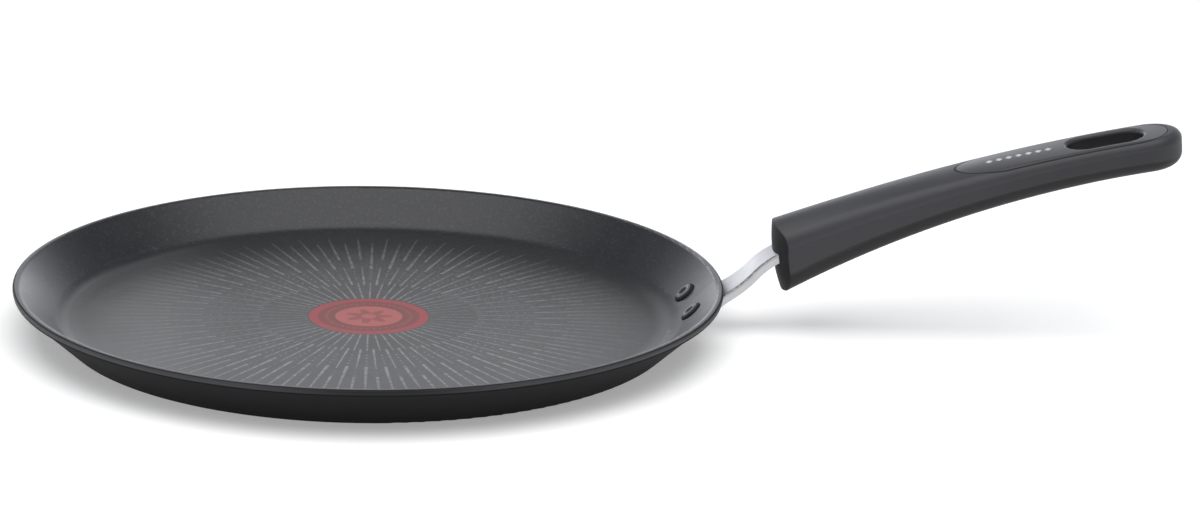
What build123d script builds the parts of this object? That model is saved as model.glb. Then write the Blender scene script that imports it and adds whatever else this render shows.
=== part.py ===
from build123d import *
import math
import os

# Crepe pan: a pressed aluminium dish with a riveted metal bracket and a moulded grip.
# Millimetres and degrees. The dish stands on z = 0 around the Z axis and the handle runs
# towards +X. The plane y = 0 is the plane of symmetry of the handle.

# Dish
pan_radius = 130.25
pan_height = 18.1
floor_thickness = 4.8
wall_thickness = 2.6
wall_angle = 42.0
rim_width = 2.65
rim_outer_round = 1.0
rim_inner_round = 1.6
lip_height = 2.6
lip_lean = 0.6
lip_round = 0.4
floor_round = 8.0
base_round = 2.2

# Heat indicator, a thin disc of coloured enamel let into the cooking face
indicator_radius = 22.0
indicator_thickness = 0.3
indicator_gap = 0.05

# Induction plate, a perforated steel disc pressed into the underside
plate_radius = 80.0
plate_thickness = 0.6
plate_gap = 0.05
plate_center_radius = 7.0
plate_hole_radius = 2.6
plate_hole_pitch = 17.5
plate_ring_shares = (0.34, 0.62, 0.9)

# Rivets that hold the bracket to the wall
rivet_spacing = 24.0
rivet_height = 9.6
rivet_shank_radius = 2.5
rivet_bore_gap = 0.05
rivet_head_radius = 4.4
rivet_head_height = 1.3
rivet_head_edge = 0.35
rivet_face_radius = 2.7
rivet_face_dish = 0.25
rivet_tail_radius = 3.8
rivet_tail_height = 1.7
rivet_tail_edge = 0.5

# Bracket: a foot shaped to the wall, a shallow channel for a stem and a tang in the grip
foot_thickness = 2.2
foot_margin = 6.4
foot_tail = 6.2
foot_neck = 10.6
foot_corner_round = 4.5
stem_sheet = 1.8
stem_depth = 3.2
stem_root_width = 19.5
stem_width = 15.0
stem_sink = 0.9
stem_start_inset = 5.5
stem_bend_inset = 4.0
stem_runs = (4.5, 9.5, 11.0)
stem_slopes = (30.0, 47.0)
stem_edge_round = 0.9
stem_top_share = 0.5
channel_start = 3.0
tang_length = 36.0
collar_wall = 1.2

# Grip
grip_slope = 23.0
grip_length = 153.3
grip_bend_radius = 580.0
grip_root_height = 24.8
grip_tip_height = 13.4
grip_root_width = 27.0
grip_tip_width = 27.0
grip_root_crown = 5.5
grip_tip_crown = 0.3
grip_belly = 1.0
grip_draft = 1.0
shoulder_root_round = 6.0
shoulder_tip_round = 3.2
belly_root_round = 7.6
belly_tip_round = 5.0
grip_section_shares = (0.16, 0.36, 0.56, 0.78, 1.0)
stem_above_axis = 1.9
end_stock = 9.0
end_setback = 1.3
end_dome = 4.8
end_bow_radius = 58.0
end_bow_arc = 70.0
end_lean = 7.5
end_round = 0.5
end_cut_share = 1.25
tang_gap = 0.25

# Hanging hole and the panel around it
hole_length = 28.7
hole_width = 16.0
hole_end_gap = 14.0
hole_top_round = 1.2
hole_belly_round = 1.2
upright_share = 0.3
inlay_length = 79.7
inlay_width = 23.0
inlay_nose = 19.0
inlay_thickness = 1.4
inlay_gap = 0.22
inlay_end_gap = 5.0

# Screw and lock washer that hold the grip on the tang
screw_reach = 24.0
screw_radius = 2.0
screw_gap = 0.05
screw_tip = 0.8
screw_head_radius = 3.8
screw_head_height = 2.6
screw_head_edge = 1.0
screw_seat = 5.2
screw_hole_gap = 0.25
recess_radius = 5.0
cross_width = 1.0
cross_length = 4.6
cross_depth = 1.5
washer_radius = 3.7
washer_thickness = 1.0
washer_gap = 0.15
washer_split = 0.9

# How far a cut runs past the faces that it leaves open
overrun = 6.0

# Lines of the wall, seen in the plane y = 0
slope = math.radians(wall_angle)
floor_radius = pan_radius - rim_width - (pan_height - floor_thickness) / math.tan(slope)
base_radius = floor_radius - floor_thickness / math.tan(slope) + wall_thickness / math.sin(slope)


def inner_wall_radius(height):
    return floor_radius + (height - floor_thickness) / math.tan(slope)


def outer_wall_radius(height):
    return base_radius + height / math.tan(slope)


def direction(angle):
    """Unit vector in the plane y = 0, at an angle above +X."""
    return Vector(math.cos(math.radians(angle)), 0, math.sin(math.radians(angle)))


def in_plane(points):
    """Points of the plane y = 0 as the flat coordinates of a sketch on Plane.XZ."""
    return [(point.X, point.Z) for point in points]


# Dish


def dish_blank():
    """The dish as it leaves the press, turned around Z."""
    lip_foot = pan_height - lip_height
    outline = Polyline(
        (0, 0),
        (base_radius, 0),
        (outer_wall_radius(lip_foot), lip_foot),
        (pan_radius - lip_lean, lip_foot),
        (pan_radius, pan_height),
        (pan_radius - rim_width, pan_height),
        (floor_radius, floor_thickness),
        (0, floor_thickness),
        close=True,
    )
    profile = make_face(outline)
    corners = (
        (base_radius, 0, base_round),
        (pan_radius - lip_lean, lip_foot, lip_round),
        (pan_radius, pan_height, rim_outer_round),
        (pan_radius - rim_width, pan_height, rim_inner_round),
        (floor_radius, floor_thickness, floor_round),
    )
    for x, z, radius in corners:
        vertex = profile.vertices().sort_by_distance((x, z, 0))[0]
        profile = fillet(vertex, radius)
    return revolve(Plane.XZ * profile, Axis.Z)


def plate_outline(radius, hole_change):
    """A disc with rings of holes. Each hole is wider than the named one by hole_change."""
    outline = Circle(radius) - Circle(plate_center_radius + hole_change)
    for share in plate_ring_shares:
        ring_radius = plate_radius * share
        count = round(2 * math.pi * ring_radius / plate_hole_pitch)
        outline -= PolarLocations(ring_radius, count) * Circle(plate_hole_radius + hole_change)
    return outline


def induction_plate():
    return extrude(plate_outline(plate_radius, 0), amount=plate_thickness)


def heat_indicator():
    base = floor_thickness - indicator_thickness
    return extrude(Pos(0, 0, base) * Circle(indicator_radius), amount=indicator_thickness)


def pan_body():
    """The dish with its recesses and the rivet bores through the wall."""
    body = dish_blank()
    base = floor_thickness - indicator_thickness
    pocket = Pos(0, 0, base) * Circle(indicator_radius + indicator_gap)
    body -= extrude(pocket, amount=indicator_thickness + overrun)
    body -= extrude(plate_outline(plate_radius + plate_gap, -plate_gap), amount=plate_thickness)
    for place in rivet_places():
        body -= place * Cylinder(rivet_shank_radius + rivet_bore_gap, 2 * overrun)
    return body


# Rivets


def rivet_places():
    """Frames on the inner face of the wall, x up the slope and z out of the wall."""
    radius = inner_wall_radius(rivet_height)
    turn = math.degrees(math.asin(rivet_spacing / 2 / radius))
    seat = Plane((radius, 0, rivet_height), direction(wall_angle), direction(wall_angle + 90))
    return [Rot(0, 0, side * turn) * Location(seat) for side in (-1, 1)]


def rivet():
    """One rivet along Z: a bevelled head with a dished face on the wall, a domed tail on the foot."""
    wall_curve = inner_wall_radius(rivet_height) / math.sin(slope)
    seat = rivet_head_radius**2 / (2 * wall_curve)
    tail = -wall_thickness - foot_thickness
    edge = seat + rivet_head_edge
    crown = seat + rivet_head_height
    tail_edge = tail - rivet_tail_edge
    tail_crown = tail - rivet_tail_height
    line = Line((0, tail_crown), (0, crown - rivet_face_dish))
    line += dome_arc((0, crown - rivet_face_dish), (rivet_face_radius, crown))
    line += Polyline(
        (rivet_face_radius, crown),
        (rivet_head_radius, edge),
        (rivet_head_radius, seat),
        (rivet_shank_radius, seat),
        (rivet_shank_radius, tail),
        (rivet_tail_radius, tail),
        (rivet_tail_radius, tail_edge),
    )
    line += dome_arc((0, tail_crown), (rivet_tail_radius, tail_edge))
    return revolve(Plane.XZ * make_face(line), Axis.Z)


def dome_arc(crown, edge):
    """Half of a round dome, from its crown on the axis to its edge."""
    rise = crown[1] - edge[1]
    radius = (edge[0] ** 2 + rise**2) / (2 * rise)
    half = math.asin(edge[0] / abs(radius)) / 2
    middle = (abs(radius) * math.sin(half), crown[1] - radius * (1 - math.cos(half)))
    return ThreePointArc(crown, middle, edge)


# Bracket


def foot():
    """A plate that follows the outer face of the wall, with rounded ears for the rivets."""
    out = direction(wall_angle - 90)
    seat_height = rivet_height - wall_thickness * math.cos(slope)
    seat = Vector(outer_wall_radius(seat_height), 0, seat_height)
    up = direction(wall_angle)
    low = seat - up * foot_tail
    high = seat + up * foot_neck
    section = Polyline(
        *in_plane((low, high, high + out * foot_thickness, low + out * foot_thickness)),
        close=True,
    )
    ears = rivet_spacing / 2 + foot_margin
    turn = math.degrees(math.asin((ears + overrun) / seat.X))
    ring = revolve(Plane.XZ * make_face(section), Axis.Z, revolution_arc=2 * turn)
    ring = Rot(0, 0, -turn) * ring
    neck = stem_root_width / 2
    outline = make_face(
        Polyline(
            (-foot_tail, -ears),
            (foot_margin - rivet_shank_radius, -ears),
            (foot_neck, -neck),
            (foot_neck, neck),
            (foot_margin - rivet_shank_radius, ears),
            (-foot_tail, ears),
            close=True,
        )
    )
    corners = outline.vertices().filter_by(lambda vertex: abs(vertex.Y) > neck)
    outline = fillet(corners, foot_corner_round)
    frame = Plane(seat, up, out)
    return ring & extrude(frame * outline, amount=2 * overrun, both=True)


def stem_stations():
    """Points of the stem's top line and its slope at each of them."""
    start_x = pan_radius - stem_start_inset
    bend_x = pan_radius - stem_bend_inset
    sink = stem_sink / math.cos(slope)
    stations = []
    for x in (start_x, bend_x):
        height = (x - base_radius) * math.tan(slope) - sink
        stations.append((Vector(x, 0, height), wall_angle))
    for run, end_slope in zip(stem_runs, stem_slopes + (grip_slope,)):
        point, start_slope = stations[-1]
        mean = math.radians((start_slope + end_slope) / 2)
        stations.append((point + Vector(run, 0, run * math.tan(mean)), end_slope))
    point, end_slope = stations[-1]
    stations.append((point + direction(grip_slope) * tang_length, grip_slope))
    return stations


def stem_line(depth):
    """The stem's side view at a depth below its top: straight, three arcs, straight."""
    placed = [(point + direction(angle - 90) * depth, angle) for point, angle in stem_stations()]
    points = in_plane([point for point, angle in placed])
    line = Line(points[0], points[1])
    for index in range(1, len(points) - 2):
        start = direction(placed[index][1])
        line += TangentArc(points[index], points[index + 1], tangent=(start.X, start.Z))
    line += Line(points[-2], points[-1])
    return line, points


def stem_band(top, bottom, half_width):
    """The stem's side view between two depths, as thick as its widest place."""
    upper, upper_points = stem_line(top)
    lower, lower_points = stem_line(bottom)
    ends = Line(upper_points[0], lower_points[0]) + Line(upper_points[-1], lower_points[-1])
    return extrude(Plane.XZ * make_face(upper + lower + ends), amount=half_width, both=True)


def stem_plan(inset, start_x):
    """The stem from above: it narrows from the foot to the grip."""
    root = stem_root_width / 2 - inset
    width = stem_width / 2 - inset
    tang_start = stem_stations()[-2][0].X
    tang_end = stem_stations()[-1][0].X + overrun
    height = 2 * stem_stations()[-1][0].Z
    outline = Polyline(
        (start_x, -root),
        (tang_start, -width),
        (tang_end, -width),
        (tang_end, width),
        (tang_start, width),
        (start_x, root),
        close=True,
    )
    return extrude(make_face(outline), amount=height)


def stem():
    """A shallow channel, open below, with rounded top edges."""
    shape = stem_band(0, stem_depth, stem_root_width)
    shape &= stem_plan(0, pan_radius - 2 * stem_start_inset)
    top = shape.faces().filter_by(lambda face: face.normal_at().Z > stem_top_share)
    edges = top.edges().filter_by(lambda edge: abs(edge.center().Y) > stem_width * stem_top_share / 2)
    shape = fillet(edges, stem_edge_round)
    hollow = stem_band(stem_sheet, stem_depth + overrun, stem_root_width)
    hollow &= stem_plan(stem_sheet, pan_radius + channel_start)
    return shape - hollow


def screw_place():
    """Frame of the grip screw: origin on the tang's top, z out of the tang's top."""
    point = stem_stations()[-2][0] + direction(grip_slope) * screw_reach
    return Location(Plane(point, direction(grip_slope), direction(grip_slope + 90)))


def handle_bracket():
    """Foot, stem and tang in one piece, with rivet bores and a collar for the screw."""
    shape = foot() + stem()
    collar = Cylinder(
        screw_radius + screw_gap + collar_wall,
        stem_depth - stem_sheet,
        align=(Align.CENTER, Align.CENTER, Align.MAX),
    )
    shape += screw_place() * Pos(0, 0, -stem_sheet) * collar
    shape -= screw_place() * Cylinder(screw_radius + screw_gap, 2 * overrun)
    for place in rivet_places():
        bore = Cylinder(
            rivet_shank_radius + rivet_bore_gap,
            wall_thickness + foot_thickness + overrun,
            align=(Align.CENTER, Align.CENTER, Align.MAX),
        )
        shape -= place * bore
    return shape


# Grip


def grip_axis_length():
    """Length of the grip's axis, from its root to the centre of its round tip."""
    return grip_length - end_setback - grip_tip_width / 2


def grip_station(share):
    """Frame across the grip's axis: x to the side, y up and z towards the tip."""
    start = stem_stations()[-2][0] - direction(grip_slope + 90) * stem_above_axis
    center = start - direction(grip_slope + 90) * grip_bend_radius
    length = end_setback + share * grip_axis_length()
    angle = grip_slope - math.degrees(length / grip_bend_radius)
    origin = center + direction(angle + 90) * grip_bend_radius
    return Plane(origin, (0, 1, 0), direction(angle))


def fade(root, tip, share):
    """A size that falls quickly near the dish and levels off towards the tip."""
    return tip + (root - tip) * (1 - share) ** 2


def grip_section(share, top_drop):
    """Crowned top, soft shoulders, straight flanks and a round belly."""
    half_height = fade(grip_root_height, grip_tip_height, share) / 2
    crown = fade(grip_root_crown, grip_tip_crown, share)
    half_width = (grip_root_width + (grip_tip_width - grip_root_width) * share) / 2
    foot_width = half_width - grip_draft
    top = half_height - top_drop
    outline = ThreePointArc((-half_width, top - crown), (0, top), (half_width, top - crown))
    outline += Line((half_width, top - crown), (foot_width, grip_belly - half_height))
    outline += ThreePointArc(
        (foot_width, grip_belly - half_height),
        (0, -half_height),
        (-foot_width, grip_belly - half_height),
    )
    outline += Line((-foot_width, grip_belly - half_height), (-half_width, top - crown))
    section = make_face(outline)
    shoulder = shoulder_root_round + (shoulder_tip_round - shoulder_root_round) * share
    belly = belly_root_round + (belly_tip_round - belly_root_round) * share
    section = fillet(section.vertices().group_by(Axis.Y)[-1], shoulder)
    section = fillet(section.vertices().group_by(Axis.Y)[0], belly)
    return section


def grip_form(top_drop):
    """The grip before its cuts. Its top lies top_drop below the finished one."""
    shares = (-end_stock / grip_axis_length(),) + grip_section_shares
    sections = [grip_station(share) * grip_section(share, top_drop) for share in shares]
    body = loft(sections)
    end = grip_station(1)
    half = split(sections[-1], bisect_by=Plane.XZ, keep=Keep.TOP)
    tip = revolve(half, Axis(end.origin, end.y_dir), revolution_arc=180)
    return body + tip


def end_cut():
    """What is cut from the grip to leave its leaning end, domed in plan and in side view."""
    half_width = grip_root_width / 2
    side = half_width * end_cut_share
    back = 2 * grip_root_width
    radius = (half_width**2 + end_dome**2) / (2 * end_dome)
    reach = radius - math.sqrt(radius**2 - side**2) - end_dome
    outline = ThreePointArc((reach, -side), (-end_dome, 0), (reach, side))
    outline += Polyline((reach, side), (-back, side), (-back, -side), (reach, -side))
    frame = Plane(grip_station(0).origin, direction(end_lean), direction(90 + end_lean))
    hinge = Axis(frame.origin + frame.x_dir * end_bow_radius, frame.y_dir)
    ring = revolve(frame * make_face(outline), hinge, revolution_arc=end_bow_arc)
    return ring.rotate(hinge, -end_bow_arc / 2)


def tip_plane(distance):
    """Frame on the grip's axis at a distance from its tip, x to the tip and z up."""
    station = grip_station(1 + (grip_tip_width / 2 - distance) / grip_axis_length())
    return Plane(station.origin, station.z_dir, station.y_dir)


def hanging_hole():
    slot = hole_frame() * SlotOverall(hole_length, hole_width)
    return extrude(slot, amount=2 * overrun, both=True)


def inlay_outline(growth):
    """Plan of the panel: a long nose towards the dish and a round end at the tip."""
    half_length = inlay_length / 2
    half_width = inlay_width / 2
    nose = Pos(inlay_nose - half_length, 0) * Ellipse(inlay_nose + growth, half_width + growth)
    end = Pos(half_length - half_width, 0) * Circle(half_width + growth)
    middle_length = inlay_length - inlay_nose - half_width
    middle_center = (inlay_nose - half_width) / 2
    middle = Pos(middle_center, 0) * Rectangle(middle_length, inlay_width + 2 * growth)
    return nose + middle + end


def inlay_block(growth):
    """The panel's plan run through the grip."""
    frame = tip_plane(inlay_end_gap + inlay_length / 2)
    return extrude(frame * inlay_outline(growth), amount=2 * grip_tip_height)


def hole_frame():
    """Frame at the middle of the hanging hole, x to the tip and z up."""
    return tip_plane(hole_end_gap + hole_length / 2)


def is_hole_wall(face):
    """True for a face of the hanging hole's wall."""
    frame = hole_frame()
    center = frame.to_local_coords(face.center())
    upright = abs(face.normal_at().dot(frame.z_dir)) < upright_share
    inside_length = abs(center.X) < hole_length / 2 + hole_top_round
    inside_width = abs(center.Y) < hole_width / 2 + hole_top_round
    return upright and inside_length and inside_width


def hole_rim(shape, upper):
    """Edges round the upper or the lower end of the hanging hole in a shape."""
    frame = hole_frame()
    edges = shape.faces().filter_by(is_hole_wall).edges()
    flat = edges.filter_by(lambda edge: abs(edge.tangent_at(0.5).dot(frame.z_dir)) < upright_share)
    heights = [frame.to_local_coords(edge.center()).Z for edge in flat]
    middle = (min(heights) + max(heights)) / 2
    return [edge for edge, height in zip(flat, heights) if (height > middle) == upper]


def grip_inlay():
    """The panel, as thick as its recess is deep."""
    panel = (grip_form(0) & inlay_block(0)) - grip_form(inlay_thickness)
    panel -= hanging_hole()
    return fillet(hole_rim(panel, upper=True), hole_top_round)


def tang_pocket():
    """The slot that the tang slides into."""
    tang_start = stem_stations()[-2][0]
    frame = Plane(tang_start, direction(grip_slope), direction(grip_slope + 90))
    length = tang_length + tang_gap + end_stock
    pocket = Box(
        length,
        stem_width + 2 * tang_gap,
        stem_depth + 2 * tang_gap,
        align=(Align.MAX, Align.CENTER, Align.CENTER),
    )
    return Location(frame) * Pos(tang_length + tang_gap, 0, -stem_depth / 2) * pocket


def screw_bore():
    """Clearance for the screw's shank, and the recess for its head in the belly."""
    seat = -stem_depth - screw_seat
    shank = Pos(0, 0, seat) * Cylinder(
        screw_radius + screw_hole_gap,
        screw_seat + stem_depth + screw_tip + screw_hole_gap,
        align=(Align.CENTER, Align.CENTER, Align.MIN),
    )
    recess = Pos(0, 0, seat) * Cylinder(
        recess_radius,
        grip_root_height,
        align=(Align.CENTER, Align.CENTER, Align.MAX),
    )
    return screw_place() * (shank + recess)


def grip_body():
    body = grip_form(0) - end_cut()
    rim = body.edges().filter_by(lambda edge: edge.center().X < grip_station(0).origin.X + end_stock)
    body = fillet(rim, end_round)
    body -= inlay_block(inlay_gap) - grip_form(inlay_thickness)
    body -= hanging_hole()
    body = fillet(hole_rim(body, upper=False), hole_belly_round)
    body -= tang_pocket()
    body -= screw_bore()
    return body


# Screw and washer


def handle_screw():
    """Pan head screw with a cross recess, driven up into the tang's collar."""
    seat = -stem_depth - screw_seat - washer_thickness
    line = Polyline(
        (0, seat - screw_head_height),
        (0, screw_tip),
        (screw_radius, screw_tip),
        (screw_radius, seat),
        (screw_head_radius, seat),
        (screw_head_radius, seat - screw_head_edge),
    )
    line += dome_arc((0, seat - screw_head_height), (screw_head_radius, seat - screw_head_edge))
    screw = revolve(Plane.XZ * make_face(line), Axis.Z)
    slot = Box(cross_length, cross_width, 2 * cross_depth)
    cross = slot + Rot(0, 0, 90) * slot
    screw -= Pos(0, 0, seat - screw_head_height) * cross
    return screw_place() * screw


def lock_washer():
    """A split washer between the screw's head and the grip."""
    seat = -stem_depth - screw_seat - washer_thickness
    ring = Circle(washer_radius) - Circle(screw_radius + washer_gap)
    ring -= Pos(washer_radius, 0) * Rectangle(2 * screw_radius, washer_split)
    return screw_place() * extrude(Pos(0, 0, seat) * ring, amount=washer_thickness)


def main():
    os.makedirs("parts", exist_ok=True)
    near, far = rivet_places()
    pieces = {
        "pan_body": pan_body(),
        "induction_plate": induction_plate(),
        "heat_indicator": heat_indicator(),
        "handle_bracket": handle_bracket(),
        "rivet_near": near * rivet(),
        "rivet_far": far * rivet(),
        "grip_body": grip_body(),
        "grip_inlay": grip_inlay(),
        "handle_screw": handle_screw(),
        "lock_washer": lock_washer(),
    }
    for name, shape in pieces.items():
        export_step(shape, f"parts/{name}.step")
        print(name, round(shape.volume, 1))


main()
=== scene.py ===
import math

import bpy
from mathutils import Matrix, Vector


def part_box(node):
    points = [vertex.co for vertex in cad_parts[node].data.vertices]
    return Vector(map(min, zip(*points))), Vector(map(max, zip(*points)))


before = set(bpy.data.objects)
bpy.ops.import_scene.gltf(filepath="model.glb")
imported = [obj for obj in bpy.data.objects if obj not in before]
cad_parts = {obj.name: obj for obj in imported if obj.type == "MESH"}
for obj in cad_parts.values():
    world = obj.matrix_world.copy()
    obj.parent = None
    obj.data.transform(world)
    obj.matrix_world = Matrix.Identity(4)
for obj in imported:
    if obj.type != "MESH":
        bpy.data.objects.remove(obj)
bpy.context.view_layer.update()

# A crepe pan with a riveted bracket and a moulded grip. Lengths are in metres, angles in
# radians and colours in linear light.


def colour(red, green, blue):
    return (red, green, blue, 1.0)


def grey(value):
    return colour(value, value, value)


# Camera, found from the rim, the base and the red spot in the photograph
camera_distance = 2.0
camera_elevation = math.radians(17.26)
handle_turn = math.radians(2.5)
aim_yaw = 0.0424
aim_pitch = 0.0124
aim_roll = -0.0075
image_width = 1200
focal_length = 5440
sensor_width = 36.0

# Sky: a band of light low behind the object, weaker to the right
sky_tint = colour(0.97, 0.99, 1.04)
sky_middle = 0.20
sky_band_back = 3.2
sky_band_front = 0.30
band_height = (0.03, 0.42)
band_from_front = (-0.3, 0.5)
band_to_right = (0.35, 0.9)
right_loss = 0.5

# Soft light from above
softbox_side = 2.0
softbox_height = 1.5
softbox_power = 33.0
softbox_shift = -0.45

# Floor of pale paper, which glows a little so that shadows stay light
floor_side = 12.0
floor_white = 0.78
floor_glow = 0.31
paper_shade = 0.98
paper_grain = 0.003
paper_roughness = 0.9

# Sizes of the solids that the materials follow
floor_share = 0.867
dish_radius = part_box("pan_body")[1].x
rim_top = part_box("pan_body")[1].z
floor_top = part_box("heat_indicator")[1].z
spot_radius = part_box("heat_indicator")[1].x
grip_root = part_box("grip_body")[0].x
panel_low, panel_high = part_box("grip_inlay")
floor_radius = dish_radius * floor_share

# Coatings and plastics
coating_ior = 1.42
plastic_ior = 1.42

# Border of inside and outside: a cone between the two faces of the wall
inside_level = (floor_top * 0.9, floor_top * 0.95)
border_start = floor_top * 0.6
border_slope = 0.9
border_blur = 0.0005
floor_fade = 0.004

# Coating inside the dish: a mottled tone, finer flecks, pale specks and dark pits
wall_tones = (colour(0.0122, 0.0128, 0.0153), colour(0.0193, 0.0203, 0.0235))
floor_tones = (colour(0.013, 0.0135, 0.0138), colour(0.021, 0.0218, 0.0223))
mottle_size = 0.011
grain_size = 0.0006
grain_depth = 0.00006
coating_roughness = (0.29, 0.43)
fleck_tone = colour(0.055, 0.056, 0.057)
fleck_size = 0.0013
fleck_range = (0.50, 0.72)
fleck_strength = 0.5
speck_tone = colour(0.10, 0.10, 0.105)
speck_step = 0.0021
speck_share = 0.09
speck_core = 0.6
pit_tone = grey(0.002)
pit_step = 0.0031
pit_share = 0.12

# Use: a darker middle. Painted light: a painted highlight as a pale ring where floor meets wall,
# and paler far and left sides of the floor
burnt_tone = colour(0.004, 0.0045, 0.0045)
burnt_ring = (spot_radius * 1.3, spot_radius * 2.9)
burnt_strength = 0.8
# Painted highlight: a pale ring where floor meets wall, paler to the left
cove_highlight_tones = (colour(0.088, 0.089, 0.092), colour(0.160, 0.160, 0.166))
cove_highlight_to_left = (0.07, 0.10)
cove_highlight_ring = (floor_radius - 0.006, floor_radius - 0.001)
cove_highlight_blur = 0.0025
cove_highlight_end = (0.0, 0.05)
cove_highlight_slant = 0.3
cove_highlight_strength = 0.85
# Painted light: paler far side of the floor
far_floor_light_tone = colour(0.036, 0.037, 0.037)
far_floor_light_side = (0.02, 0.09)
far_floor_light_strength = 0.45
# Painted light: paler left side of the floor
left_floor_light_tone = colour(0.070, 0.071, 0.072)
left_floor_light_side = (0.045, 0.085)
left_floor_light_strength = 0.75

# Printed sunburst on the cooking face: rings of strokes and of dots
print_tone = colour(0.168, 0.168, 0.165)
ray_count = 56
ray_blur = 0.0002
ray_gap = 0.0007
half_pitch = 0.5
first_ring = (spot_radius + ray_gap, 0.0425)
second_ring = (0.0400, 0.0640)
long_ring = (0.0610, 0.0945)
short_ring = (0.0730, 0.1010)
first_width = 0.00069
second_width = 0.00092
long_width = 0.001242
short_width = 0.001104
first_thinning = 0.35
second_thinning = 0.6
outer_thinning = 0.5
dot_step = 0.0034
dot_radius = 0.00042
near_dots = (0.0460, 0.0640)
far_dots = (0.0660, 0.1020)
far_dot_strength = 0.5
print_wear_size = 0.0022
print_wear_range = (0.34, 0.62)
print_wear_least = 0.35
print_fade = (second_ring[1], short_ring[1] * 1.1)
print_fade_least = 0.45
print_rubbing = (0.15, 0.8)
print_rubbing_least = 0.50
print_far = (0.015, 0.07)
print_far_least = 0.68

# Dark enamel outside, and a painted highlight: a paler band on the lip to both sides
enamel_tones = (colour(0.0008, 0.0008, 0.0016), colour(0.0020, 0.0020, 0.0034))
enamel_roughness = 0.95
enamel_grain = 0.35
lip_highlight_tone = colour(0.038, 0.038, 0.042)
lip_roughness = 0.55
lip_height = (-0.00182, -0.00026)
lip_blur = 0.0003
lip_highlight_sides = (0.030, 0.119)
lip_highlight_side_blur = 0.025

# Rivets, whose axes stand square on the wall inside the dish
wall_angle = math.radians(42.0)
rivet_from_axis = 0.11816
rivet_side = 0.012
rivet_seat = 0.0096
rivet_turn = math.asin(rivet_side / rivet_from_axis)
rivet_axis = Vector(
    (
        -math.sin(wall_angle) * math.cos(rivet_turn),
        -math.sin(wall_angle) * math.sin(rivet_turn),
        math.cos(wall_angle),
    )
)
rivet_head = 0.0044
# Painted shade: a dark line on the dish round each rivet head
rivet_shade_line = (rivet_head * 0.9, rivet_head * 1.06)
rivet_shade_line_tone = grey(0.003)
rivet_shade_line_strength = 0.8
rivet_blur = 0.0001
# Painted highlight on a pale ring of each head, painted shade on its dark middle and edge
rivet_lit_ring = (0.0018, 0.0034)
rivet_shade_tones = (colour(0.004, 0.004, 0.005), colour(0.009, 0.009, 0.010))
rivet_lit_tones = (colour(0.100, 0.100, 0.104), colour(0.140, 0.140, 0.145))
rivet_dark_roughness = 0.75
rivet_lit_roughness = (0.26, 0.38)
rivet_mottle_size = 0.002
rivet_grain_size = 0.0005
rivet_grain_depth = 0.00003

# Red spot, as shares of its radius: a rim, a band with beads, and a middle with a rosette
spot_dull = colour(0.148, 0.014, 0.010)
spot_warm = colour(0.36, 0.068, 0.060)
spot_bright = colour(0.28, 0.014, 0.022)
spot_cloud = colour(0.12, 0.045, 0.048)
spot_cloud_size = 0.004
spot_cloud_strength = 0.25
spot_blur = spot_radius * 0.012
rim_start = spot_radius * 0.85
middle_end = spot_radius * 0.56
petal_count = 7
petal_reach = 0.30
petal_swing = 0.10
heart_radius = spot_radius * 0.12
rosette_strength = 0.65
bead_count = 40
bead_ring = spot_radius * 0.705
bead_edge = (spot_radius * 0.018, spot_radius * 0.034)
bead_strength = 0.55
spot_grain_depth = 0.00004
spot_roughness = (0.36, 0.50)

# Steel plate under the dish
plate_tones = (colour(0.50, 0.50, 0.49), colour(0.62, 0.61, 0.60))
plate_ring_pitch = 0.0007
plate_ring_depth = 0.00002
plate_streak_size = 0.004
plate_streak_relief = (0.4, 1.0)
plate_cloud_size = 0.03
plate_roughness = (0.24, 0.40)

# Bracket stem, narrower towards the grip, with a darker speckled line along its edges
stem_tones = (colour(0.56, 0.56, 0.575), colour(0.67, 0.67, 0.685))
stem_start = dish_radius - 0.011
stem_end = dish_radius + 0.021
stem_start_half_width = 0.00975
stem_half_width = 0.0075
dark_edge_width = 0.0009
dark_edge_blur = dark_edge_width * 0.15
dark_edge_tone = colour(0.22, 0.22, 0.23)
dark_edge_speckle_size = 0.0011
dark_edge_speckle_range = (0.25, 0.5)
dark_edge_roughness = 0.1
brushing_size = 0.0005
brushing_stretch = (14.0, 1.0, 14.0)
brushing_depth = 0.00002
stem_cloud_size = 0.006
stem_roughness = (0.44, 0.58)

# Grip: spark texture and cloudy tone, painted light that makes the top and flanks near the root
# paler, and painted shade that darkens the end, the hole and the underside
grip_tones = (colour(0.033, 0.0335, 0.038), colour(0.042, 0.0425, 0.047))
grip_texture_size = 0.00035
grip_texture_depth = 0.00004
grip_cloud_size = 0.012
grip_rub_size = 0.03
grip_rub_share = 0.4
grip_roughness = (0.44, 0.60)
grip_speck_tone = colour(0.055, 0.055, 0.058)
grip_speck_step = 0.0013
grip_speck_share = 0.10
# Painted light: the top near the root is paler
root_light_tone = colour(0.050, 0.050, 0.055)
root_length = (0.01, 0.06)
root_facing = (0.5, 0.9)
root_strength = 0.7
# Painted light: the flanks near the root are paler
flank_light_tone = colour(0.054, 0.050, 0.058)
flank_facing = (0.15, 0.6)
flank_length = (0.05, 0.13)
flank_strength = 0.6
# Painted shade inside the hole
hole_shade_tone = colour(0.012, 0.012, 0.013)
hole_side = (0.0085, 0.0095)
hole_length = (0.250, 0.291)
hole_blur = 0.001
# Painted shade on the end face
end_shade_tone = colour(0.013, 0.013, 0.014)
end_facing = (0.5, 0.8)
end_roughness = 0.12
# Painted shade on the underside
belly_shade_tone = colour(0.004, 0.004, 0.005)
belly_facing = (-0.02, 0.25)

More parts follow.
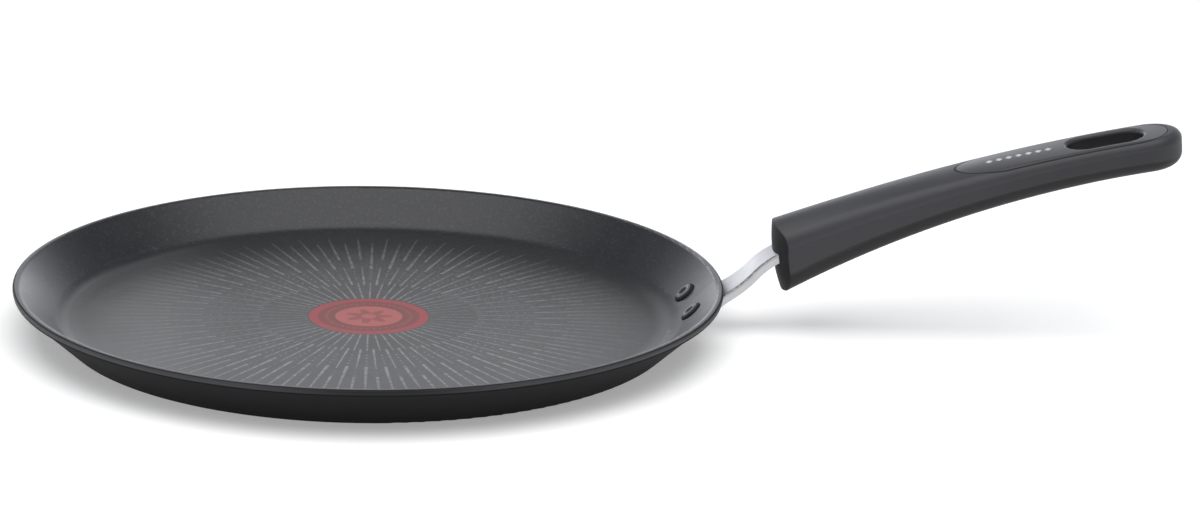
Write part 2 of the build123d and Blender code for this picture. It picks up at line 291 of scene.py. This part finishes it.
# Panel of the grip, and its row of lozenges
panel_tones = (colour(0.041, 0.041, 0.044), colour(0.050, 0.050, 0.053))
panel_texture_size = 0.00025
panel_texture_depth = 0.00003
panel_cloud_size = 0.008
panel_roughness = (0.34, 0.50)
lozenge_tone = colour(0.45, 0.45, 0.46)
lozenge_count = 7
lozenge_pitch = 0.0036
lozenge_half_length = 0.0013
lozenge_half_width = 0.0017
lozenge_blur = 0.15
lozenge_depth = 0.00006
row_place = 0.30
row_center = panel_low.x + (panel_high.x - panel_low.x) * row_place
row_end_blur = 0.01

# Seam round the panel: a long nose, straight sides and a round end, seen from above
# Painted shade along the seam
seam_shade_tone = grey(0.004)
seam_strength = 0.7
seam_roughness = 0.3
seam_width = (0.955, 0.973)
panel_half_width = (panel_high.y - panel_low.y) / 2
nose_length = 0.0187
panel_nose = panel_low.x + nose_length
panel_end = panel_high.x - panel_half_width

# Screw and washer
plating_tones = (grey(0.60), colour(0.72, 0.71, 0.67))
haze_size = 0.0015
plating_texture_size = 0.0003
plating_texture_depth = 0.00002
plating_roughness = (0.22, 0.38)


class Field:
    """A number that varies over a surface: an output in a material's node tree."""

    def __init__(self, tree, socket):
        self.tree = tree
        self.socket = socket

    def math(self, operation, *others):
        node = self.tree.nodes.new("ShaderNodeMath")
        node.operation = operation
        for place, value in enumerate((self, *others)):
            plug(self.tree, node.inputs[place], value)
        return Field(self.tree, node.outputs[0])

    def __add__(self, other):
        return self.math("ADD", other)

    def __sub__(self, other):
        return self.math("SUBTRACT", other)

    def __mul__(self, other):
        return self.math("MULTIPLY", other)

    def __truediv__(self, other):
        return self.math("DIVIDE", other)

    def flipped(self):
        """One less this number."""
        return (self * -1.0) + 1.0

    def fraction(self):
        return self.math("FRACT")

    def size(self):
        return self.math("ABSOLUTE")

    def cosine(self):
        return self.math("COSINE")

    def root(self):
        return self.math("SQRT")

    def largest(self, other):
        return self.math("MAXIMUM", other)

    def smallest(self, other):
        return self.math("MINIMUM", other)

    def rise(self, low, high):
        """Goes smoothly from 0 to 1 as this number goes from low to high."""
        node = self.tree.nodes.new("ShaderNodeMapRange")
        node.interpolation_type = "SMOOTHSTEP"
        plug(self.tree, node.inputs["Value"], self)
        plug(self.tree, node.inputs["From Min"], low)
        plug(self.tree, node.inputs["From Max"], high)
        return Field(self.tree, node.outputs["Result"])

    def past(self, limit, blur):
        """1 where this number is past the limit, 0 elsewhere, with a soft edge."""
        return self.rise(limit - blur, limit + blur)

    def within(self, low, high, blur):
        """1 between low and high, 0 elsewhere, with soft ends."""
        return self.past(low, blur) * self.past(high, blur).flipped()


def plug(tree, target, value):
    """Gives an input a constant, or links it to a field or an output."""
    if isinstance(value, Field):
        tree.links.new(value.socket, target)
    elif isinstance(value, bpy.types.NodeSocket):
        tree.links.new(value, target)
    else:
        target.default_value = value


class Finish:
    """A material with one Principled shader, and the parts that its pattern is made of."""

    def __init__(self, name, **constants):
        self.material = bpy.data.materials.new(name)
        self.material.use_nodes = True
        self.tree = self.material.node_tree
        self.shader = self.tree.nodes["Principled BSDF"]
        for socket, value in constants.items():
            self.shader.inputs[socket.replace("_", " ")].default_value = value
        place = self.tree.nodes.new("ShaderNodeTexCoord")
        self.point = place.outputs["Object"]
        self.x, self.y, self.z = self.split(self.point)
        self.normal_x, _, self.normal_z = self.split(place.outputs["Normal"])

    def split(self, vector):
        node = self.tree.nodes.new("ShaderNodeSeparateXYZ")
        self.tree.links.new(vector, node.inputs[0])
        return [Field(self.tree, output) for output in node.outputs]

    def radius(self):
        """Distance from the dish's axis."""
        return (self.x * self.x + self.y * self.y).root()

    def angle(self):
        """Angle round the dish's axis."""
        return self.y.math("ARCTAN2", self.x)

    def from_rivet(self):
        """Distance from the axis of the nearer rivet."""
        along = self.x - rivet_from_axis * math.cos(rivet_turn)
        aside = self.y.size() - rivet_side
        above = self.z - rivet_seat
        out = along * rivet_axis.x + aside * rivet_axis.y + above * rivet_axis.z
        return (along * along + aside * aside + above * above - out * out).root()

    def noise(self, size, detail=2.0, roughness=0.5, stretch=(1.0, 1.0, 1.0)):
        """Noise from 0 to 1 with features of that size, longer along an axis stretched above 1."""
        mapping = self.tree.nodes.new("ShaderNodeMapping")
        mapping.inputs["Scale"].default_value = [1.0 / s for s in stretch]
        self.tree.links.new(self.point, mapping.inputs["Vector"])
        node = self.tree.nodes.new("ShaderNodeTexNoise")
        self.tree.links.new(mapping.outputs[0], node.inputs["Vector"])
        node.inputs["Scale"].default_value = 1.0 / size
        node.inputs["Detail"].default_value = detail
        node.inputs["Roughness"].default_value = roughness
        return Field(self.tree, node.outputs[0])

    def specks(self, step, share):
        """1 in small scattered specks, whose radius is that share of the step between them."""
        node = self.tree.nodes.new("ShaderNodeTexVoronoi")
        self.tree.links.new(self.point, node.inputs["Vector"])
        node.inputs["Scale"].default_value = 1.0 / step
        return Field(self.tree, node.outputs["Distance"]).rise(share * speck_core, share).flipped()

    def mix(self, factor, first, second):
        """A colour between two others."""
        node = self.tree.nodes.new("ShaderNodeMix")
        node.data_type = "RGBA"
        plug(self.tree, node.inputs["Factor"], factor)
        plug(self.tree, node.inputs[6], first)
        plug(self.tree, node.inputs[7], second)
        return node.outputs[2]

    def blend(self, factor, first, second):
        """A number between two others."""
        return factor * (second - first) + first

    def bump(self, height, depth):
        """Raises the surface by the height field, from 0 to 1, times the depth in metres."""
        node = self.tree.nodes.new("ShaderNodeBump")
        node.inputs["Distance"].default_value = depth
        plug(self.tree, node.inputs["Height"], height)
        previous = self.shader.inputs["Normal"]
        if previous.is_linked:
            self.tree.links.new(previous.links[0].from_socket, node.inputs["Normal"])
        self.tree.links.new(node.outputs["Normal"], previous)

    def paint(self, base, roughness):
        plug(self.tree, self.shader.inputs["Base Color"], base)
        plug(self.tree, self.shader.inputs["Roughness"], roughness)

    def put_on(self, *nodes):
        for name in nodes:
            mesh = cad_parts[name].data
            mesh.materials.clear()
            mesh.materials.append(self.material)


def from_nearest_stroke(angle, radius, count, turn):
    """Distance across to the nearest stroke of a ring, turned by that share of its pitch."""
    pitch = 2 * math.pi / count
    return ((angle / pitch + turn).fraction() - 0.5).size() * radius * pitch


def strokes(angle, radius, turn, ring, width, thinning):
    """1 on radial strokes, blunt at the inner end and thinner towards the outer end."""
    start, end = ring
    along = (radius - start) / (end - start)
    half_width = (along * -thinning + 1.0) * (width / 2)
    off = from_nearest_stroke(angle, radius, ray_count, turn) - half_width
    return off.past(0.0, ray_blur).flipped() * radius.within(start, end, ray_blur)


def dots(angle, radius, count, turn, ring):
    """1 on rows of small dots that run outwards."""
    start, end = ring
    across = from_nearest_stroke(angle, radius, count, turn)
    along = (((radius - start) / dot_step).fraction() - 0.5) * dot_step
    off = (across * across + along * along).root() - dot_radius
    return off.past(0.0, ray_blur).flipped() * radius.within(start, end, ray_blur)


def sunburst(angle, radius):
    """The printed pattern round the red spot."""
    rings = [
        strokes(angle, radius, 0.0, first_ring, first_width, first_thinning),
        strokes(angle, radius, half_pitch, second_ring, second_width, second_thinning),
        strokes(angle, radius, 0.0, long_ring, long_width, outer_thinning),
        strokes(angle, radius, half_pitch, short_ring, short_width, outer_thinning),
        dots(angle, radius, ray_count, 0.0, near_dots),
        dots(angle, radius, ray_count * 2, half_pitch, far_dots) * far_dot_strength,
    ]
    pattern = rings[0]
    for ring in rings[1:]:
        pattern = pattern.largest(ring)
    return pattern


def print_strength(finish, radius):
    """How much of the print is left: spotty, fainter outwards, to both sides and far back."""
    wear = finish.noise(print_wear_size, detail=3.0).rise(*print_wear_range)
    fading = radius.rise(*print_fade)
    less_rubbed = (finish.y.size() / radius).rise(*print_rubbing)
    strength = finish.blend(wear, print_wear_least, 1.0)
    strength = strength * finish.blend(fading, 1.0, print_fade_least)
    strength = strength * finish.blend(less_rubbed, print_rubbing_least, 1.0)
    return strength * finish.blend(finish.y.rise(*print_far), 1.0, print_far_least)


def dish_zones(finish, radius):
    """1 inside the dish, and 1 on its flat floor."""
    border = (radius - floor_radius) * border_slope + border_start
    inside = finish.z.rise(*inside_level) * (finish.z - border).rise(0.0, border_blur)
    on_floor = radius.rise(floor_radius - floor_fade, floor_radius).flipped() * inside
    return inside, on_floor


def use_and_painted_light(finish, base, radius, inside, on_floor):
    """Adds a darker middle from use and painted light to the coating's colour: a highlight ring
    where floor meets wall, and paler far and left sides of the floor.
    """
    burnt = radius.rise(*burnt_ring).flipped() * on_floor
    base = finish.mix(burnt * burnt_strength, base, burnt_tone)
    to_left = finish.x * -1.0
    # Painted highlight: a pale ring where floor meets wall, paler to the left and fading towards
    # the back
    cove_highlight_tone = finish.mix(to_left.rise(*cove_highlight_to_left), *cove_highlight_tones)
    to_back = (finish.y - to_left.largest(0.0) * cove_highlight_slant).rise(*cove_highlight_end)
    rub_and_highlight = radius.within(*cove_highlight_ring, cove_highlight_blur) * inside * to_back.flipped()
    base = finish.mix(rub_and_highlight * cove_highlight_strength, base, cove_highlight_tone)
    # Painted light: the floor is paler towards the far side and towards the left
    far_floor_light = finish.y.rise(*far_floor_light_side) * on_floor
    base = finish.mix(far_floor_light * far_floor_light_strength, base, far_floor_light_tone)
    left_floor_light = to_left.rise(*left_floor_light_side) * on_floor
    return finish.mix(left_floor_light * left_floor_light_strength, base, left_floor_light_tone)


def coating(finish, mottle, radius, inside, on_floor):
    """Colour of the sprayed coating, with its print, the signs of use, painted light, and painted
    shade round the rivets.
    """
    wall = finish.mix(mottle, *wall_tones)
    floor = finish.mix(mottle, *floor_tones)
    base = finish.mix(on_floor, wall, floor)
    base = use_and_painted_light(finish, base, radius, inside, on_floor)
    flecks = finish.noise(fleck_size, detail=4.0, roughness=0.65).rise(*fleck_range)
    base = finish.mix(flecks * fleck_strength, base, fleck_tone)
    base = finish.mix(finish.specks(speck_step, speck_share), base, speck_tone)
    base = finish.mix(finish.specks(pit_step, pit_share) * on_floor, base, pit_tone)
    pattern = sunburst(finish.angle(), radius) * on_floor * print_strength(finish, radius)
    base = finish.mix(pattern, base, print_tone)
    # Painted shade: a dark line round each rivet head
    rivet_shade = finish.from_rivet().within(*rivet_shade_line, rivet_blur)
    return finish.mix(rivet_shade * rivet_shade_line_strength, base, rivet_shade_line_tone)


def dish_finish():
    """Sprayed coating inside with the print, dark enamel outside."""
    finish = Finish("coated_aluminium", IOR=coating_ior)
    radius = finish.radius()
    inside, on_floor = dish_zones(finish, radius)
    mottle = finish.noise(mottle_size, detail=3.0)
    grain = finish.noise(grain_size, detail=2.0)
    lip = (finish.z - rim_top).within(*lip_height, lip_blur) * inside.flipped()
    # Painted highlight: a paler band on the lip to both sides
    lip_highlight = lip * finish.x.size().within(*lip_highlight_sides, lip_highlight_side_blur)
    enamel = finish.mix(lip_highlight, finish.mix(mottle, *enamel_tones), lip_highlight_tone)
    base = finish.mix(inside, enamel, coating(finish, mottle, radius, inside, on_floor))
    inner_roughness = finish.blend(grain * 0.5 + mottle * 0.5, *coating_roughness)
    outer_roughness = finish.blend(lip, enamel_roughness, lip_roughness)
    finish.bump(grain * finish.blend(inside, enamel_grain, 1.0), grain_depth)
    finish.paint(base, finish.blend(inside, outer_roughness, inner_roughness))
    finish.put_on("pan_body")


def beads(angle, radius):
    """1 on a ring of small round beads."""
    across = from_nearest_stroke(angle, radius, bead_count, 0.0)
    along = radius - bead_ring
    return (across * across + along * along).root().rise(*bead_edge).flipped()


def spot_finish():
    """Red enamel: a bright rim, a duller band with a ring of beads, and a rosette in the middle."""
    finish = Finish("indicator_enamel", IOR=coating_ior)
    radius = finish.radius()
    angle = finish.angle()
    petals = ((angle * petal_count).cosine() * petal_swing + petal_reach) * spot_radius
    outside_heart = radius.past(heart_radius, spot_blur)
    rosette = (radius - petals).past(0.0, spot_blur).flipped() * outside_heart
    middle = radius.past(middle_end, spot_blur).flipped()
    base = finish.mix(radius.past(rim_start, spot_blur), spot_dull, spot_bright)
    base = finish.mix(middle, base, spot_warm)
    base = finish.mix(rosette * rosette_strength, base, spot_dull)
    base = finish.mix(beads(angle, radius) * bead_strength, base, spot_warm)
    cloud = finish.noise(spot_cloud_size, detail=3.0)
    base = finish.mix(cloud * spot_cloud_strength, base, spot_cloud)
    grain = finish.noise(grain_size, detail=2.0)
    finish.bump(grain, spot_grain_depth)
    finish.paint(base, finish.blend(grain, *spot_roughness))
    finish.put_on("heat_indicator")


def plate_finish():
    """Turned steel: fine rings round the axis."""
    finish = Finish("base_steel", Metallic=1.0)
    rings = (finish.radius() * (2 * math.pi / plate_ring_pitch)).cosine() * 0.5 + 0.5
    streaks = finish.noise(plate_streak_size, detail=4.0)
    cloud = finish.noise(plate_cloud_size, detail=2.0)
    finish.bump(rings * finish.blend(streaks, *plate_streak_relief), plate_ring_depth)
    finish.paint(finish.mix(cloud, *plate_tones), finish.blend(streaks, *plate_roughness))
    finish.put_on("induction_plate")


def bracket_finish():
    """Satin stainless steel, brushed along its length, with a darker speckled line along its edges.
    """
    finish = Finish("bracket_steel", Metallic=1.0)
    brushing = finish.noise(brushing_size, detail=3.0, stretch=brushing_stretch)
    cloud = finish.noise(stem_cloud_size, detail=2.0)
    along = (finish.x - stem_start) / (stem_end - stem_start)
    half_width = finish.blend(along, stem_start_half_width, stem_half_width)
    # A darker speckled line along both edges of the stem
    edge = (finish.y.size() - half_width).within(-dark_edge_width, -dark_edge_blur, dark_edge_blur)
    dark_edge_speckle = finish.noise(dark_edge_speckle_size, detail=3.0).rise(*dark_edge_speckle_range)
    base = finish.mix(edge * dark_edge_speckle, finish.mix(cloud, *stem_tones), dark_edge_tone)
    finish.bump(brushing, brushing_depth)
    finish.paint(base, finish.blend(brushing, *stem_roughness) + edge * dark_edge_roughness)
    finish.put_on("handle_bracket")


def rivet_finish():
    """The coating of the dish on the rivets' heads: a pale smooth ring of painted highlight, and
    painted shade on the dark middle and edge.
    """
    finish = Finish("rivet_coated", IOR=coating_ior)
    grain = finish.noise(rivet_grain_size, detail=2.0)
    mottle = finish.noise(rivet_mottle_size, detail=2.0)
    # Painted highlight on a pale ring of each head, painted shade on its dark middle and edge
    lit_ring = finish.from_rivet().within(*rivet_lit_ring, rivet_blur)
    dark = finish.mix(mottle, *rivet_shade_tones)
    pale = finish.mix(mottle, *rivet_lit_tones)
    smooth = finish.blend(grain, *rivet_lit_roughness)
    finish.bump(grain, rivet_grain_depth)
    finish.paint(finish.mix(lit_ring, dark, pale), finish.blend(lit_ring, rivet_dark_roughness, smooth))
    finish.put_on("rivet_near", "rivet_far")


def grip_finish():
    """Moulded phenolic plastic: fine spark texture, slightly cloudy, smoother where hands rub, with
    painted light on the top and flanks near the root and painted shade on the end, hole and
    underside.
    """
    finish = Finish("grip_plastic", IOR=plastic_ior)
    texture = finish.noise(grip_texture_size, detail=2.0)
    cloud = finish.noise(grip_cloud_size, detail=3.0)
    rub_and_highlight = finish.noise(grip_rub_size, detail=2.0)
    specks = finish.specks(grip_speck_step, grip_speck_share)
    base = finish.mix(specks, finish.mix(cloud, *grip_tones), grip_speck_tone)
    from_root = finish.x - grip_root
    # Painted light: the top near the root is paler
    root_light = from_root.rise(*root_length).flipped() * finish.normal_z.rise(*root_facing)
    base = finish.mix(root_light * root_strength, base, root_light_tone)
    # Painted light: the flanks near the root are paler
    flank = finish.normal_z.size().rise(*flank_facing).flipped()
    flank_light = flank * from_root.rise(*flank_length).flipped()
    base = finish.mix(flank_light * flank_strength, base, flank_light_tone)
    # Painted shade inside the hole
    at_hole = finish.y.size().rise(*hole_side).flipped() * finish.x.within(*hole_length, hole_blur)
    in_hole = flank * at_hole
    base = finish.mix(in_hole, base, hole_shade_tone)
    # Painted shade on the end face
    end_face = (finish.normal_x * -1.0).rise(*end_facing) * in_hole.flipped()
    base = finish.mix(end_face, base, end_shade_tone)
    # Painted shade on the underside
    belly = (finish.normal_z * -1.0).rise(*belly_facing)
    base = finish.mix(belly, base, belly_shade_tone)
    finish.bump(texture, grip_texture_depth)
    unevenness = texture * (1.0 - grip_rub_share) + rub_and_highlight * grip_rub_share
    finish.paint(base, finish.blend(unevenness, *grip_roughness) + end_face * end_roughness)
    finish.put_on("grip_body")


def lozenges(finish):
    """1 on a row of small lozenges along the panel."""
    from_center = (finish.x - row_center) / lozenge_pitch
    from_middle = ((from_center + 0.5).fraction() - 0.5).size()
    along = from_middle * (lozenge_pitch / lozenge_half_length)
    outside = (along + finish.y.size() / lozenge_half_width - 1.0).past(0.0, lozenge_blur)
    in_row = (from_center.size() - lozenge_count / 2).rise(0.0, row_end_blur).flipped()
    return outside.flipped() * in_row


def seam_line(finish):
    """1 along the edge of the panel."""
    to_nose = (finish.x - panel_nose).smallest(0.0) / nose_length
    to_end = (finish.x - panel_end).largest(0.0) / panel_half_width
    to_side = finish.y / panel_half_width
    out = (to_nose * to_nose + to_end * to_end + to_side * to_side).root()
    return out.rise(*seam_width)


def panel_finish():
    """The panel in the grip: the same plastic with a finer surface, lozenges and painted shade
    along the seam.
    """
    finish = Finish("inlay_plastic", IOR=plastic_ior)
    texture = finish.noise(panel_texture_size, detail=2.0)
    cloud = finish.noise(panel_cloud_size, detail=3.0)
    mark = lozenges(finish)
    seam = seam_line(finish)
    base = finish.mix(mark, finish.mix(cloud, *panel_tones), lozenge_tone)
    # Painted shade along the seam
    base = finish.mix(seam * seam_strength, base, seam_shade_tone)
    finish.bump(texture, panel_texture_depth)
    finish.bump(mark.flipped(), lozenge_depth)
    finish.paint(base, finish.blend(texture, *panel_roughness) + seam * seam_roughness)
    finish.put_on("grip_inlay")


def screw_finish():
    """Zinc plating with a faint warm haze."""
    finish = Finish("screw_steel", Metallic=1.0)
    haze = finish.noise(haze_size, detail=3.0)
    texture = finish.noise(plating_texture_size, detail=2.0)
    finish.bump(texture, plating_texture_depth)
    finish.paint(finish.mix(haze, *plating_tones), finish.blend(haze, *plating_roughness))
    finish.put_on("handle_screw", "lock_washer")


def make_camera():
    data = bpy.data.cameras.new("camera")
    data.sensor_width = sensor_width
    data.lens = focal_length / image_width * sensor_width
    camera = bpy.data.objects.new("camera", data)
    bpy.context.scene.collection.objects.link(camera)
    stand = Vector((0.0, -math.cos(camera_elevation), math.sin(camera_elevation)))
    camera.matrix_world = (
        Matrix.Rotation(-handle_turn, 4, "Z")
        @ Matrix.Translation(stand * camera_distance)
        @ Matrix.Rotation(math.pi / 2 - camera_elevation, 4, "X")
        @ Matrix.Rotation(-aim_yaw, 4, "Y")
        @ Matrix.Rotation(aim_pitch, 4, "X")
        @ Matrix.Rotation(-aim_roll, 4, "Z")
    )
    bpy.context.scene.camera = camera


def make_sky():
    """Soft surroundings: a light band low behind the object, dim elsewhere."""
    world = bpy.data.worlds.new("studio")
    bpy.context.scene.world = world
    world.use_nodes = True
    tree = world.node_tree
    place = tree.nodes.new("ShaderNodeTexCoord")
    split = tree.nodes.new("ShaderNodeSeparateXYZ")
    tree.links.new(place.outputs["Generated"], split.inputs[0])
    to_right, to_back, upwards = (Field(tree, output) for output in split.outputs)
    band = upwards.rise(*band_height).flipped()
    glow = to_back.rise(*band_from_front) * (sky_band_back - sky_band_front) + sky_band_front
    dimming = to_right.rise(*band_to_right) * -right_loss + 1.0
    background = tree.nodes["Background"]
    plug(tree, background.inputs["Strength"], band * glow * dimming + sky_middle)
    background.inputs["Color"].default_value = sky_tint


def make_softbox():
    data = bpy.data.lights.new("softbox", "AREA")
    data.shape = "SQUARE"
    data.size = softbox_side
    data.energy = softbox_power
    softbox = bpy.data.objects.new("softbox", data)
    bpy.context.scene.collection.objects.link(softbox)
    softbox.location = (0.0, softbox_shift, softbox_height)


def make_floor():
    mesh = bpy.data.meshes.new("floor")
    half = floor_side / 2
    corners = [(-half, -half, 0.0), (half, -half, 0.0), (half, half, 0.0), (-half, half, 0.0)]
    mesh.from_pydata(corners, [], [(0, 1, 2, 3)])
    floor = bpy.data.objects.new("floor", mesh)
    bpy.context.scene.collection.objects.link(floor)
    finish = Finish("floor_paper", Emission_Color=grey(1.0), Emission_Strength=floor_glow)
    grain = finish.noise(paper_grain, detail=3.0)
    tone = finish.mix(grain, grey(floor_white), grey(floor_white * paper_shade))
    finish.paint(tone, paper_roughness)
    mesh.materials.append(finish.material)


make_camera()
make_sky()
make_softbox()
make_floor()
dish_finish()
spot_finish()
plate_finish()
bracket_finish()
rivet_finish()
grip_finish()
panel_finish()
screw_finish()
bpy.context.scene.view_settings.view_transform = "Standard"
